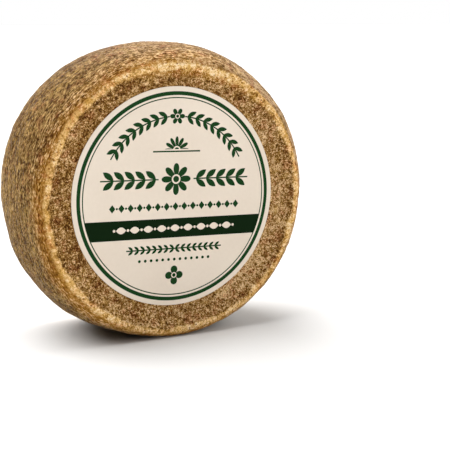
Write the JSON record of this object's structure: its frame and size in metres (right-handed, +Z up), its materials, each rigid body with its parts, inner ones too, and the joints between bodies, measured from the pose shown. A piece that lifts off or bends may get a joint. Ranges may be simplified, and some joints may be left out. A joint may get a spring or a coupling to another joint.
{
  "type": "blue goat cheese wheel",
  "caption": "Whole round blue goat cheese with a rough brown natural rind, raised rims and a round paper label on its sunken face, standing on its edge.",
  "frame": {"origin": "middle of the wheel's extent in X and Y, on the surface that the wheel stands on", "axes": "+Z up, -Y the way the labelled face looks, +X to the right seen from the front"},
  "size_m": [0.2002, 0.081, 0.1943],
  "materials": {
    "rind": "natural cheese rind, rough and matte, speckled brown, ochre and grey with paler golden rims",
    "paper": "uncoated cream paper printed in dark green, slightly dished where it is stuck down"
  },
  "bodies": {
    "root": {"cheese_wheel": "rind", "label": "paper"}
  },
  "joints": []
}
